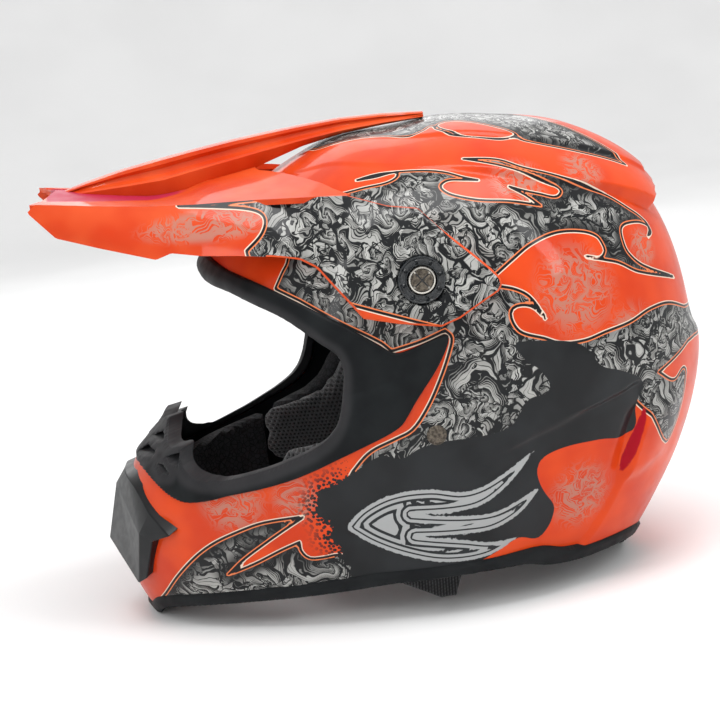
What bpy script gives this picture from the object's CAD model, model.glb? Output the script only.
import functools
import math

import bmesh
import bpy
import numpy as np
from mathutils import Matrix, Vector


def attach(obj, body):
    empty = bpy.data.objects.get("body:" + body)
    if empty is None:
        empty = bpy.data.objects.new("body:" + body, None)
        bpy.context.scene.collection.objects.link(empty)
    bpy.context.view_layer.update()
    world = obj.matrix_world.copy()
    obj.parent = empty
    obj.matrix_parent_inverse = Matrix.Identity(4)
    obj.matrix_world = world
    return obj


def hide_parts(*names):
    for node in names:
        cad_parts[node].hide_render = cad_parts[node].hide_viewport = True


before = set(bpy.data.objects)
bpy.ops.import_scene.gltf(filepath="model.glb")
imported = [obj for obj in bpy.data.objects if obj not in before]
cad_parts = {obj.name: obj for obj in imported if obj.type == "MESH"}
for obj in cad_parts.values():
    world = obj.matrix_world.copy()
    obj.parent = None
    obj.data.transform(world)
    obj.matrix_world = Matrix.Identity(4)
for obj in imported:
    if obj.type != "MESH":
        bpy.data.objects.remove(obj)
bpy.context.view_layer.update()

# Motocross helmet. Shapes are worked out in millimetres and turned into metres as meshes.
# +X is the wearer's left, the helmet faces -Y, +Z is up and Z = 0 is what it stands on.

MM = 0.001
POLE_Y, POLE_Z = 18, 138        # lateral axis that the shell's form is measured from
HALF_WIDTH = 119
SHELL_THICK = 3.6
PROUD = 2.6                     # eye port frame above the shell
LIP_DEPTH = 6.5                 # eye port frame behind the shell's face
TRIM_HEIGHT = 7
TRIM_PROUD = 1.6
TRIM_DEPTH = 5.2
PEAK_THICK = 3
ARM_PROUD = 5.4                 # outside of the peak's arms above the shell
ARM_CLEAR = 1.6                 # inside of the peak's arms above the shell
ARM_FLAT = 117.8                # x of the flat round the screw on the peak's arm
FOAM_OUT = -4.4
FOAM_IN = -27.4
LINER_OUT = -28.2
LINER_IN = -35.2
ARC = 204                       # a quarter of the way round the form


# ---- camera ----------------------------------------------------------------------------------

def place_camera():
    """The view from the wearer's left, a little in front and above, rolled by the helmet's tilt."""
    turn, rise, away = math.radians(6.8), math.radians(9.3), 1.1
    back = Vector((math.cos(turn) * math.cos(rise), -math.sin(turn) * math.cos(rise), math.sin(rise)))
    looking = (-back).to_track_quat("-Z", "Y").to_matrix().to_4x4()
    data = bpy.data.cameras.new("camera")
    data.lens = 97.9
    data.sensor_width = 36
    data.clip_end = 50
    camera = bpy.data.objects.new("camera", data)
    bpy.context.scene.collection.objects.link(camera)
    tilt = Matrix.Rotation(math.radians(-6.9), 4, "X")
    camera.matrix_world = (
        Matrix.Translation((0, -12.7 * MM, 123.8 * MM)) @ tilt @ Matrix.Translation(back * away) @ looking
    )
    bpy.context.scene.camera = camera


place_camera()


# ---- the helmet's form -----------------------------------------------------------------------

# Angle from straight back over the crown, the radius there in the mid-plane, and the two
# roundness powers of the cross-section.
FORM = np.array([
    [0, 155, 2.3, 2.2], [20, 151.5, 2.3, 2.2], [30, 148.5, 2.3, 2.2], [45, 136, 2.3, 2.25],
    [60, 124.5, 2.3, 2.3], [75, 116.5, 2.3, 2.3], [90, 112.5, 2.3, 2.3], [105, 114.5, 2.3, 2.3],
    [120, 115.5, 2.3, 2.3], [135, 118, 2.25, 2.3], [150, 121, 2.2, 2.3], [165, 127, 2.1, 2.2],
    [180, 134, 1.9, 2.1], [189, 140, 1.75, 2], [193, 148, 1.65, 2], [197, 167.5, 1.6, 2],
    [201, 180, 1.6, 2], [206, 193, 1.6, 2], [212, 205, 1.6, 2], [221, 213, 1.6, 2],
    [232, 213, 1.7, 2], [246, 206, 1.9, 2], [262, 199, 2.2, 2], [278, 191, 2.3, 2.05],
    [293, 181, 2.35, 2.1], [308, 172, 2.35, 2.1], [320, 166, 2.35, 2.1], [331, 163.5, 2.3, 2.15],
    [342, 161, 2.3, 2.2], [352, 159.5, 2.3, 2.2],
])


def form_at(angle, column):
    """One column of FORM at any angles, as a smooth closed curve."""
    a = np.mod(angle, 360)
    count = len(FORM)
    i = np.searchsorted(FORM[:, 0], a, side="right") - 1
    before, here, after, beyond = (
        FORM[(i + k) % count, 0] + 360 * ((i + k) // count) for k in (-1, 0, 1, 2)
    )
    low, start, end, high = (FORM[(i + k) % count, column] for k in (-1, 0, 1, 2))
    width = after - here
    t = (a - here) / width
    slope_start = (end - low) / (after - before) * width
    slope_end = (high - start) / (beyond - here) * width
    return (
        (2 * t**3 - 3 * t**2 + 1) * start + (t**3 - 2 * t**2 + t) * slope_start
        + (3 * t**2 - 2 * t**3) * end + (t**3 - t**2) * slope_end
    )


def polar(directions):
    side, back, up = directions.T
    return np.arctan2(np.hypot(back, up), np.abs(side)), np.degrees(np.arctan2(up, back))


def surface(directions, grow):
    """Points of the form, grown by `grow`, in the given directions from its centre."""
    tilt, angle = polar(directions)
    radius = (form_at(angle, 1) + grow) * np.sin(tilt) ** (2 / form_at(angle, 2))
    across = np.clip(np.cos(tilt), 0, 1) ** (2 / form_at(angle, 3))
    a = np.radians(angle)
    x = np.sign(directions[:, 0]) * (HALF_WIDTH + grow) * across
    return np.column_stack([x, POLE_Y + radius * np.cos(a), POLE_Z + radius * np.sin(a)])


def half_width(y, z, grow):
    """The form's half width at points of the side view."""
    angle = np.degrees(np.arctan2(z - POLE_Z, y - POLE_Y))
    reach = np.clip(np.hypot(y - POLE_Y, z - POLE_Z) / (form_at(angle, 1) + grow), 0, 1)
    return (HALF_WIDTH + grow) * (1 - reach ** form_at(angle, 2)) ** (1 / form_at(angle, 3))


def unrolled(tilt, angle):
    """Where points lie on the form's skin, unrolled from its side: length and direction in mm."""
    t = tilt[:, None] * np.linspace(0, 1, 41)
    radius = form_at(angle, 1)[:, None] * np.sin(t) ** (2 / form_at(angle, 2))[:, None]
    x = HALF_WIDTH * np.clip(np.cos(t), 0, 1) ** (2 / form_at(angle, 3))[:, None]
    length = np.hypot(np.diff(radius, axis=1), np.diff(x, axis=1)).sum(1)
    a = np.radians(angle)
    return np.column_stack([length * np.cos(a), length * np.sin(a)])


def step_up(value, low, high):
    """Rises smoothly from zero at `low` to one at `high`."""
    t = np.clip((value - low) / (high - low), 0, 1)
    return t * t * (3 - 2 * t)


def hump(value, rise, top, brink, foot):
    """Zero outside `rise` and `foot`, and one between `top` and `brink`."""
    return step_up(value, rise, top) * (1 - step_up(value, brink, foot))


def edge_drop(distance, radius=1.3):
    """How far a rounded edge falls away at a distance from it."""
    near = np.clip(distance / radius, 0, 1)
    return radius * (1 - np.sqrt(1 - (1 - near) ** 2))


# ---- outlines --------------------------------------------------------------------------------

def curved(outline, closed=True, steps=5):
    """A smooth line through the points. A third number in a point makes it a sharp corner."""
    points = np.array([p[:2] for p in outline], float)
    sharp = [len(p) > 2 for p in outline]
    count = len(points)
    line = []
    for i in range(count if closed else count - 1):
        j = (i + 1) % count
        chord = points[j] - points[i]
        length = np.linalg.norm(chord)
        ends = []
        for k in (i, j):
            lone = sharp[k] or (not closed and k in (0, count - 1))
            way = chord if lone else points[(k + 1) % count] - points[k - 1]
            ends.append(way / max(np.linalg.norm(way), 1e-6) * length)
        for t in np.arange(steps) / steps:
            line.append(
                (2 * t**3 - 3 * t**2 + 1) * points[i] + (t**3 - 2 * t**2 + t) * ends[0]
                + (3 * t**2 - 2 * t**3) * points[j] + (t**3 - t**2) * ends[1]
            )
    if not closed:
        line.append(points[-1])
    return np.array(line)


def inside(outline, points):
    """Signed distance of 2-D points to a closed outline, positive inside it."""
    outline = np.asarray(outline, float)
    nearest = np.full(len(points), 1e9)
    within = np.zeros(len(points), bool)
    for start, end in zip(outline, np.roll(outline, -1, axis=0)):
        way = end - start
        t = np.clip((points - start) @ way / max(way @ way, 1e-9), 0, 1)
        nearest = np.minimum(nearest, ((points - start - t[:, None] * way) ** 2).sum(1))
        crosses = (start[1] > points[:, 1]) != (end[1] > points[:, 1])
        if start[1] != end[1]:
            at = start[0] + (points[:, 1] - start[1]) / (end[1] - start[1]) * way[0]
            within ^= crosses & (points[:, 0] < at)
    return np.sqrt(nearest) * np.where(within, 1, -1)


def along(points, *axes):
    return points[:, list(axes)]


# ---- meshes ----------------------------------------------------------------------------------

@functools.cache
def sphere_grid(count):
    """Directions and four-sided cells of a cube blown up to a sphere."""
    line = np.tan(np.linspace(-math.pi / 4, math.pi / 4, count + 1))
    u, v = (m.ravel() for m in np.meshgrid(line, line, indexing="ij"))
    index = np.arange((count + 1) ** 2).reshape(count + 1, count + 1)
    cells = np.stack([index[:-1, :-1], index[1:, :-1], index[1:, 1:], index[:-1, 1:]], -1).reshape(-1, 4)
    points, quads = [], []
    for axis in range(3):
        for sign in (-1, 1):
            face = np.empty((len(u), 3))
            face[:, axis] = sign
            face[:, (axis + 1) % 3] = u * sign
            face[:, (axis + 2) % 3] = v
            quads.append(cells + len(points) * len(u))
            points.append(face / np.linalg.norm(face, axis=1)[:, None])
    merged, where = np.unique(np.round(np.concatenate(points), 8), axis=0, return_inverse=True)
    return merged, where.ravel()[np.concatenate(quads)]


def flat_grid(low, high, spacing):
    counts = [max(2, round((b - a) / spacing)) for a, b in zip(low, high)]
    u, v = np.meshgrid(*(np.linspace(a, b, n + 1) for a, b, n in zip(low, high, counts)), indexing="ij")
    index = np.arange(u.size).reshape(u.shape)
    cells = np.stack([index[:-1, :-1], index[1:, :-1], index[1:, 1:], index[:-1, 1:]], -1).reshape(-1, 4)
    return np.column_stack([u.ravel(), v.ravel()]), cells


def clipped(points, cells, field):
    """The part of a grid where the field is positive, with the cells that it crosses cut."""
    keep = field > 0
    count = keep[cells].sum(1)
    faces = cells[count == 4].tolist()
    extra = []
    cuts = {}

    def crossing(a, b):
        key = (min(a, b), max(a, b))
        if key not in cuts:
            t = float(np.clip(field[key[0]] / (field[key[0]] - field[key[1]]), 0.03, 0.97))
            cuts[key] = len(points) + len(extra)
            extra.append(points[key[0]] * (1 - t) + points[key[1]] * t)
        return cuts[key]

    for cell in cells[(count > 0) & (count < 4)].tolist():
        ring = []
        for a, b in zip(cell, cell[1:] + cell[:1]):
            if keep[a]:
                ring.append(a)
            if keep[a] != keep[b]:
                ring.append(crossing(a, b))
        faces.append(ring)
    points = np.concatenate([points, np.array(extra)]) if extra else points
    used = np.unique(np.concatenate([np.array(f) for f in faces]))
    place = np.zeros(len(points), int)
    place[used] = np.arange(len(used))
    return points[used], [place[f].tolist() for f in faces]


def closed_body(outside, within, faces):
    """Two matching sheets joined by a wall along every free edge."""
    count = len(outside)
    edges = {(a, b) for f in faces for a, b in zip(f, f[1:] + f[:1])}
    walls = [[b, a, a + count, b + count] for a, b in edges if (b, a) not in edges]
    back = [[v + count for v in reversed(f)] for f in faces]
    return np.concatenate([outside, within]), faces + back + sorted(walls)


def between(outside, within, places, faces):
    """A closed sheet over points of the side view, between two heights in X."""
    sheets = (np.column_stack([x, places]) for x in (outside, within))
    return closed_body(*sheets, [f[::-1] for f in faces])


def plate(field, outer, inner, spacing):
    """A closed sheet on the form where `field` of the form's points is positive.
    Returns its directions, points and faces."""
    directions, cells = sphere_grid(int(ARC / spacing))
    directions, faces = clipped(directions, cells, field(surface(directions, 0)))
    base = surface(directions, 0)
    points, faces = closed_body(
        surface(directions, outer(base, directions)), surface(directions, inner(base, directions)), faces
    )
    return directions, points, faces


def lit(directions, height, spacing):
    """Normals of the sheet at `height` above the form, taken from its slopes and not its facets."""
    aside = np.cross(directions, [0.36, 0.48, 0.8])
    aside /= np.linalg.norm(aside, axis=1)[:, None]
    ahead = np.cross(directions, aside)
    reach = 0.4 * spacing / ARC * math.pi / 2

    def slope(way):
        ends = []
        for sign in (1, -1):
            near = directions + sign * reach * way
            near /= np.linalg.norm(near, axis=1)[:, None]
            ends.append(surface(near, height(surface(near, 0), near)))
        return ends[0] - ends[1]

    normals = np.cross(slope(aside), slope(ahead))
    normals /= np.maximum(np.linalg.norm(normals, axis=1), 1e-9)[:, None]
    return normals * np.sign((normals * directions).sum(1))[:, None]


def mirrored(points, faces):
    return points * [-1, 1, 1], [list(reversed(f)) for f in faces]


def joined(*bodies):
    points, faces, count = [], [], 0
    for body_points, body_faces in bodies:
        points.append(body_points)
        faces += [[v + count for v in f] for f in body_faces]
        count += len(body_points)
    return np.concatenate(points), faces


def piece(name, body, slot, material, points, faces, replaces=(), sharp=35, normals=None, **attributes):
    """Makes a mesh object of points in mm that rides on a CAD body. Any normals are those of the
    first points, and are used on the faces between them."""
    mesh = bpy.data.meshes.new(name)
    mesh.from_pydata((np.asarray(points) * MM).tolist(), [], faces)
    mesh.validate()
    for key, values in attributes.items():
        values = np.asarray(values, np.float32)
        flat = values.ndim == 1
        layer = mesh.attributes.new(key, "FLOAT" if flat else "FLOAT_VECTOR", "POINT")
        layer.data.foreach_set("value" if flat else "vector", values.ravel())
    mesh.shade_smooth()
    mesh.set_sharp_from_angle(angle=math.radians(sharp))
    if normals is not None:
        count = len(normals)
        corners = np.zeros((len(mesh.loops), 3))
        for polygon in mesh.polygons:
            ring = list(polygon.vertices)
            if max(ring) < count:
                corners[polygon.loop_start:polygon.loop_start + len(ring)] = normals[ring]
        mesh.normals_split_custom_set(corners.tolist())
    mesh.materials.append(material)
    made = bpy.data.objects.new(name, mesh)
    bpy.context.scene.collection.objects.link(made)
    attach(made, body)
    if replaces:
        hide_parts(*replaces)
    return made


def woven(rows, size, loop=False, ring=True, turned=False):
    """Four-sided faces between neighbouring rows of `size` points each. The last row joins the
    first in a loop, and a row's last point joins its first in a ring."""
    faces = []
    for i in range(rows if loop else rows - 1):
        a, b = i * size, (i + 1) % rows * size
        for k in range(size if ring else size - 1):
            m = (k + 1) % size
            faces.append([a + k, b + k, b + m, a + m] if turned else [a + k, a + m, b + m, b + k])
    return faces


def lathe(profile, y, z, sides=64):
    """A turned body on a lateral axis, from a closed profile of [x, radius]."""
    turns = np.arange(sides) / sides * 2 * math.pi
    points = np.array([
        [x, y + radius * math.cos(a), z + radius * math.sin(a)] for x, radius in profile for a in turns
    ])
    return points, woven(len(profile), sides, loop=True)


def tube(line, radius, sides=20):
    """A closed loop of round wire."""
    line = np.asarray(line, float)
    count = len(line)
    ahead = np.roll(line, -1, axis=0) - np.roll(line, 1, axis=0)
    ahead /= np.linalg.norm(ahead, axis=1)[:, None]
    side = np.tile([1.0, 0, 0], (count, 1))
    up = np.cross(ahead, side)
    turns = np.arange(sides) / sides * 2 * math.pi
    points = (
        line[:, None] + radius * (np.cos(turns)[None, :, None] * side[:, None]
                                  + np.sin(turns)[None, :, None] * up[:, None])
    ).reshape(-1, 3)
    return points, woven(count, sides, loop=True, turned=True)


# ---- materials -------------------------------------------------------------------------------

class Finish:
    """One procedural material and short ways to write its nodes."""

    def __init__(self, name, **sockets):
        self.material = bpy.data.materials.new(name)
        self.material.use_nodes = True
        self.tree = self.material.node_tree
        self.shader = self.tree.nodes["Principled BSDF"]
        for key, value in sockets.items():
            self.shader.inputs[key.replace("_", " ").title().replace("Ior", "IOR")].default_value = value

    def node(self, kind, **settings):
        made = self.tree.nodes.new(kind)
        for key, value in settings.items():
            setattr(made, key, value)
        return made

    def feed(self, socket, value):
        if isinstance(value, bpy.types.NodeSocket):
            self.tree.links.new(value, socket)
        else:
            socket.default_value = value

    def math(self, operation, *values):
        made = self.node("ShaderNodeMath", operation=operation)
        for socket, value in zip(made.inputs, values):
            self.feed(socket, value)
        return made.outputs[0]

    def times(self, first, second):
        return self.math("MULTIPLY", first, second)

    def plus(self, first, second):
        return self.math("ADD", first, second)

    def rest(self, share):
        """What is left of one."""
        return self.math("SUBTRACT", 1.0, share)

    def blotched(self, point, scale, first, second, low=0.4, high=0.7, detail=3):
        """One of two colours and all between them, in soft blotches."""
        return self.mix(self.step(self.noise(point, scale, detail), low, high), (*first, 1), (*second, 1))

    def band(self, value, low, high, soft):
        """One between `low` and `high`, with soft edges, and zero outside them."""
        above = self.step(value, low - soft, low + soft)
        return self.times(above, self.step(value, high - soft, high + soft, 1, 0))

    def vector(self, operation, first, second=(0, 0, 0)):
        made = self.node("ShaderNodeVectorMath", operation=operation)
        self.feed(made.inputs[0], first)
        self.feed(made.inputs[3 if operation == "SCALE" else 1], second)
        return made.outputs["Value" if operation == "LENGTH" else "Vector"]

    def split(self, vector):
        made = self.node("ShaderNodeSeparateXYZ")
        self.feed(made.inputs[0], vector)
        return made.outputs

    def join(self, x, y, z=0.0):
        made = self.node("ShaderNodeCombineXYZ")
        for socket, value in zip(made.inputs, (x, y, z)):
            self.feed(socket, value)
        return made.outputs[0]

    def step(self, value, low, high, start=0.0, end=1.0):
        made = self.node("ShaderNodeMapRange", interpolation_type="SMOOTHSTEP")
        for socket, given in zip(made.inputs, (value, low, high, start, end)):
            self.feed(socket, given)
        return made.outputs[0]

    def mix(self, factor, first, second):
        made = self.node("ShaderNodeMix", data_type="RGBA")
        for index, given in ((0, factor), (6, first), (7, second)):
            self.feed(made.inputs[index], given)
        return made.outputs[2]

    def number(self, name):
        return self.node("ShaderNodeAttribute", attribute_name=name).outputs["Fac"]

    def place(self, name):
        return self.node("ShaderNodeAttribute", attribute_name=name).outputs["Vector"]

    def position(self):
        """The surface point in millimetres."""
        made = self.node("ShaderNodeTexCoord")
        return self.vector("SCALE", made.outputs["Object"], 1 / MM)

    def noise(self, vector, scale, detail=2.0, output="Fac"):
        made = self.node("ShaderNodeTexNoise")
        self.feed(made.inputs["Vector"], vector)
        made.inputs["Scale"].default_value = scale
        made.inputs["Detail"].default_value = detail
        return made.outputs[output]

    def voronoi(self, vector, scale, feature="F1", flat=True):
        made = self.node("ShaderNodeTexVoronoi", feature=feature, voronoi_dimensions="2D" if flat else "3D")
        self.feed(made.inputs["Vector"], vector)
        made.inputs["Scale"].default_value = scale
        return made.outputs

    def bump(self, height, distance, strength=1.0):
        made = self.node("ShaderNodeBump")
        made.inputs["Distance"].default_value = distance * MM
        made.inputs["Strength"].default_value = strength
        self.feed(made.inputs["Height"], height)
        return made.outputs[0]

    def wear(self, **sockets):
        """Feeds the shader's own sockets."""
        for key, value in sockets.items():
            self.feed(self.shader.inputs[key.replace("_", " ").title()], value)
        return self.material


def scrolls(finish, place, cell, arms, twist):
    """Engraved scroll work: leaves that sweep round scattered centres, hatched along their length.
    Returns the ink and how far across its leaf each point is."""
    f = finish
    wobble = f.vector("SUBTRACT", f.noise(place, 1.1 / cell, 2, "Color"), (0.5, 0.5, 0.5))
    bent = f.vector("ADD", place, f.vector("SCALE", wobble, cell * 1.3))
    cells = f.voronoi(bent, 1 / cell)
    x, y, _ = f.split(f.vector("SUBTRACT", bent, cells["Position"]))
    radius = f.math("MAXIMUM", f.vector("LENGTH", f.join(x, y)), cell * 0.07)
    turn = f.math("DIVIDE", f.math("ARCTAN2", y, x), 2 * math.pi)
    log = f.math("LOGARITHM", radius, math.e)
    lobes = f.times(f.math("ABSOLUTE", f.math("SINE", f.times(log, 5.5))), 0.16)
    phase = f.plus(f.times(turn, arms), f.times(log, twist))
    band = f.math("FRACT", f.plus(phase, lobes))
    wave = f.noise(place, 3.4 / cell, 2)
    width = f.times(wave, 0.34)
    line = f.step(band, width, f.plus(width, 0.05), 1, 0)
    strokes = f.math("FRACT", f.times(phase, 7))
    reach = f.times(f.step(band, 0.25, 1.0), f.step(wave, 0.3, 0.62, 0.25, 0.85))
    fine = f.step(strokes, reach, f.plus(reach, 0.14), 1, 0)
    edge = f.voronoi(bent, 1 / cell, "DISTANCE_TO_EDGE")["Distance"]
    border_width = f.times(wave, 0.07)
    border = f.step(edge, border_width, f.plus(border_width, 0.02), 1, 0)
    return f.math("MAXIMUM", f.math("MAXIMUM", line, fine), border), band


def filigree(finish, place):
    """Two sizes of scroll work, one lying over the other."""
    f = finish
    large, tone = scrolls(f, place, 26, 3, 1.05)
    small, _ = scrolls(f, f.vector("ADD", place, (311, 173, 0)), 13, 2, 0.8)
    hem = f.noise(place, 0.06, 3)
    choice = f.step(hem, 0.5, 0.505)
    ink = f.plus(f.times(large, choice),
                 f.times(small, f.rest(choice)))
    return f.math("MAXIMUM", ink, f.band(hem, 0.494, 0.506, 0.002)), tone


ORANGE = (0.68, 0.06, 0.006, 1)
DEEP_ORANGE = (0.57, 0.038, 0.004, 1)
CREAM = (0.72, 0.62, 0.5, 1)
STRIPE = (0.72, 0.2, 0.07, 1)
SILVER = (0.43, 0.43, 0.41, 1)
INK = (0.007, 0.008, 0.009, 1)
SOOT = (0.016, 0.018, 0.02, 1)
CRIMSON = (0.36, 0.006, 0.016, 1)


def paint(name, base, deep):
    """Clear-coated paint with printed flames, scroll work and pinstripes.
    The mesh says how far each point is inside the grey fields, the black field and so on."""
    f = Finish(name, coat_roughness=0.06, coat_ior=1.45, specular_ior_level=0.08)
    place = f.place("sheet")
    grey = f.number("grey")
    black = f.number("black")
    ink, tone = filigree(f, place)

    pale = f.step(f.noise(place, 0.03, 2), 0.35, 0.7)
    ground = f.mix(pale, base, DEEP_ORANGE)
    thread = f.times(f.number("faint"), f.times(f.step(ink, 0.3, 0.7), 0.8))
    ground = f.mix(thread, ground, (0.42, 0.2, 0.15, 1))

    leaf = f.mix(f.step(tone, 0.0, 1.0), SILVER, (0.2, 0.2, 0.19, 1))
    engraved = f.mix(ink, leaf, INK)
    shade = f.times(f.step(grey, 1.5, 11, 0.9, 0), f.number("smoke"))
    field = f.mix(shade, engraved, INK)

    colour = ground
    for low, high, tint in ((-1.35, -0.8, CREAM), (-0.8, 0.55, INK), (0.55, 1.15, STRIPE)):
        colour = f.mix(f.band(grey, low, high, 0.12), colour, tint)
    colour = f.mix(f.step(grey, 1.03, 1.27), colour, field)

    spray = f.number("spray")
    ragged = f.times(f.math("SUBTRACT", f.noise(place, 0.33, 4), 0.5), f.times(spray, 17))
    drop_cells = f.voronoi(place, 0.45)
    drops = f.math("SUBTRACT", f.times(spray, 0.42), drop_cells["Distance"])
    edge = f.plus(black, ragged)
    near = f.step(black, -13, -1)
    drops = f.times(f.step(drops, 0, 0.06), near)
    panel = f.math("MAXIMUM", f.step(edge, -0.15, 0.15), drops)
    soot = f.mix(f.step(f.noise(place, 0.02, 3), 0.35, 0.65), SOOT, (0.007, 0.008, 0.009, 1))
    colour = f.mix(panel, colour, soot)

    streak = f.number("streak")
    worn = f.plus(streak, f.times(f.math("SUBTRACT", f.noise(place, 0.5, 3), 0.5), 1.6))
    colour = f.mix(f.step(worn, -0.2, 0.2), colour, (0.36, 0.37, 0.37, 1))
    for low, high in ((2.0, 2.9), (4.6, 5.9), (8.0, 9.6)):
        colour = f.mix(f.band(streak, low, high, 0.1), colour, SOOT)
    colour = f.mix(f.step(f.number("edge"), 0.9, 1.2), base, colour)
    pink = f.step(f.number("pink"), 0, 1)
    colour = f.mix(pink, colour, deep)
    lining = f.number("lining")
    colour = f.mix(lining, colour, INK)

    peel = f.bump(f.noise(f.position(), 0.35, 2), 0.012)
    scratch = f.step(f.noise(f.position(), 0.08, 5), 0.3, 0.8, 0.36, 0.5)
    bare = f.math("MAXIMUM", lining, pink)
    coat = f.times(f.rest(bare), 0.36)
    return f.wear(base_color=colour, roughness=scratch, coat_weight=coat, coat_normal=peel)


def rubber():
    f = Finish("rubber", specular_ior_level=0.1)
    point = f.position()
    grain = f.voronoi(point, 1.6, flat=False)["Distance"]
    tone = f.blotched(point, 0.05, (0.006, 0.007, 0.008), (0.011, 0.013, 0.014), low=0.35)
    worn = f.times(f.number("edge"), f.step(f.noise(point, 0.05, 4), 0.3, 0.7, 0.75, 1))
    tone = f.mix(worn, tone, (0.03, 0.03, 0.032, 1))
    rough = f.step(f.noise(point, 0.12, 3), 0.3, 0.7, 0.42, 0.58)
    return f.wear(base_color=tone, roughness=rough, normal=f.bump(grain, 0.03, 0.4))


def gloss_black():
    f = Finish("gloss_black", coat_weight=0.22, coat_roughness=0.08, specular_ior_level=0.14)
    point = f.position()
    tone = f.blotched(point, 0.06, (0.004, 0.005, 0.006), (0.008, 0.009, 0.01))
    rough = f.step(f.noise(point, 0.2, 4), 0.3, 0.7, 0.28, 0.38)
    return f.wear(base_color=tone, roughness=rough, normal=f.bump(f.noise(point, 0.5, 2), 0.01))


def black_plastic():
    f = Finish("black_plastic", coat_weight=0.3, coat_roughness=0.12)
    point = f.position()
    tone = f.blotched(point, 0.3, (0.006, 0.008, 0.01), (0.015, 0.018, 0.021))
    rough = f.step(f.noise(point, 0.6, 3), 0.3, 0.7, 0.22, 0.3)
    return f.wear(base_color=tone, roughness=rough, normal=f.bump(f.noise(point, 1.2, 2), 0.006))


def beads():
    """Expanded foam: fused beads about 3 mm across."""
    f = Finish("foam_beads", specular_ior_level=0.25)
    point = f.position()
    cells = f.voronoi(point, 0.36, flat=False)
    seam = f.voronoi(point, 0.36, "DISTANCE_TO_EDGE", flat=False)["Distance"]
    x, _, _ = f.split(cells["Color"])
    tone = f.mix(x, (0.018, 0.019, 0.021, 1), (0.032, 0.033, 0.036, 1))
    tone = f.mix(f.step(seam, 0.0, 0.12, 1, 0), tone, (0.008, 0.008, 0.009, 1))
    return f.wear(base_color=tone, roughness=f.step(x, 0, 1, 0.75, 0.92),
                  normal=f.bump(f.step(seam, 0, 0.3), 0.35, 0.8))


def spacer_mesh():
    """Knitted mesh: a close pattern of six-sided eyelets over dark foam."""
    f = Finish("spacer_mesh", specular_ior_level=0.3, sheen_weight=0.35, sheen_roughness=0.5)
    pitch = 3.1
    tall = pitch * math.sqrt(3)
    place = f.place("sheet")
    x, y, _ = f.split(place)
    reach = []
    for shift in (0.0, 0.5):
        u = f.math("SUBTRACT", f.math("FRACT", f.plus(f.math("DIVIDE", x, pitch), shift)), 0.5)
        v = f.math("SUBTRACT", f.math("FRACT", f.plus(f.math("DIVIDE", y, tall), shift)), 0.5)
        reach.append(f.vector("LENGTH", f.join(f.times(u, pitch), f.times(v, tall))))
    nearest = f.math("MINIMUM", *reach)
    eyelet = f.step(nearest, 0.72, 1.12, 1, 0)
    yarn = f.noise(f.vector("SCALE", place, 1.0), 3.2, 2)
    thread = f.mix(f.step(yarn, 0.35, 0.65), (0.035, 0.036, 0.039, 1), (0.085, 0.087, 0.09, 1))
    tone = f.mix(eyelet, thread, (0.004, 0.004, 0.005, 1))
    height = f.plus(f.step(nearest, 0.6, 1.4), f.times(yarn, 0.25))
    rough = f.step(yarn, 0.3, 0.7, 0.7, 0.9)
    return f.wear(base_color=tone, roughness=rough, normal=f.bump(height, 0.7, 0.9))


def webbing():
    """Woven strap: ribs across, with a twill between them."""
    f = Finish("webbing", specular_ior_level=0.35, sheen_weight=0.4, sheen_roughness=0.4)
    _, y, z = f.split(f.position())
    rib = f.math("SINE", f.times(y, 2 * math.pi / 1.6))
    pick = f.math("SINE", f.times(f.plus(z, f.times(y, 0.5)), 2 * math.pi / 0.9))
    weave = f.times(f.plus(rib, 1.2), f.plus(pick, 1.4))
    tone = f.mix(f.step(weave, 0.4, 4), (0.006, 0.006, 0.007, 1), (0.026, 0.027, 0.029, 1))
    rough = f.step(weave, 0, 4, 0.85, 0.62)
    return f.wear(base_color=tone, roughness=rough, normal=f.bump(weave, 0.12, 0.8))


def steel():
    f = Finish("satin_steel", metallic=1.0)
    point = f.position()
    streaks = f.noise(f.vector("MULTIPLY", point, (0.4, 3, 3)), 1.4, 3)
    tone = f.mix(f.step(streaks, 0.3, 0.7), (0.46, 0.43, 0.38, 1), (0.74, 0.72, 0.67, 1))
    rough = f.step(streaks, 0.3, 0.7, 0.2, 0.36)
    return f.wear(base_color=tone, roughness=rough, normal=f.bump(streaks, 0.01))


def dull_rivet():
    f = Finish("dull_rivet", metallic=0.85)
    point = f.position()
    pits = f.voronoi(point, 1.1, flat=False)["Distance"]
    grime = f.noise(point, 0.7, 4)
    tone = f.mix(f.step(grime, 0.35, 0.65), (0.055, 0.046, 0.038, 1), (0.17, 0.145, 0.115, 1))
    rough = f.step(grime, 0.3, 0.7, 0.38, 0.6)
    return f.wear(base_color=tone, roughness=rough, normal=f.bump(pits, 0.16, 0.7))


PAINT = paint("shell_paint", ORANGE, CRIMSON)
PEAK_PAINT = paint("peak_paint", (0.66, 0.08, 0.017, 1), (0.42, 0.02, 0.06, 1))
RUBBER = rubber()
GLOSS_BLACK = gloss_black()
BLACK_PLASTIC = black_plastic()
BEADS = beads()
SPACER_MESH = spacer_mesh()
WEBBING = webbing()
STEEL = steel()
RIVET = dull_rivet()


# ---- printed graphics, as outlines on the unrolled side --------------------------------------

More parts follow.
